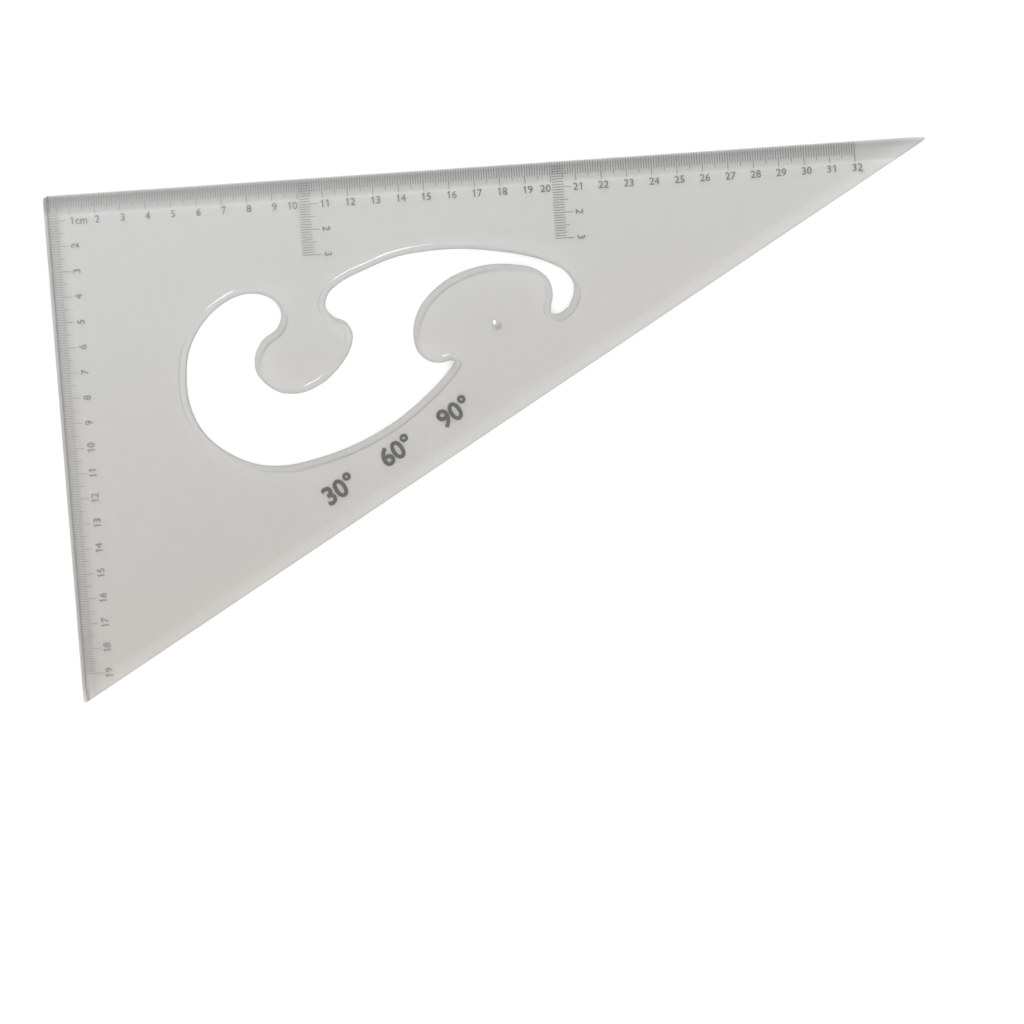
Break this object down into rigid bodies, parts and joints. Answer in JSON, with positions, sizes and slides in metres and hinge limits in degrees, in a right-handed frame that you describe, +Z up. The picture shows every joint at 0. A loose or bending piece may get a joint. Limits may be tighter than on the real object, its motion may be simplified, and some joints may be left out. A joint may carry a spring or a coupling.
{
  "type": "set square",
  "caption": "Clear plastic 30-60-90 degree set square with bevelled edges, millimetre scales along both legs and a French-curve opening.",
  "frame": {"origin": "centre of the outline's box, on the table under the underside", "axes": "+X along the long leg from the right angle to the 30 degree point, +Y from the opening towards the long leg, +Z up through the plate"},
  "size_m": [0.3478, 0.2014, 0.0039],
  "materials": {
    "plate": "clear moulded acrylic with a faint grey tint, polished faces",
    "print": "dark grey print, hot stamped on the underside"
  },
  "bodies": {
    "root": {"plate": "plate", "long_leg_millimetre_lines": "print", "long_leg_half_centimetre_lines": "print", "long_leg_centimetre_lines": "print", "long_leg_figures": "print", "short_leg_millimetre_lines": "print", "short_leg_half_centimetre_lines": "print", "short_leg_centimetre_lines": "print", "short_leg_figures": "print", "cross_scale_10_lines": "print", "cross_scale_10_figures": "print", "cross_scale_20_lines": "print", "cross_scale_20_figures": "print", "angle_marking": "print"}
  },
  "joints": []
}
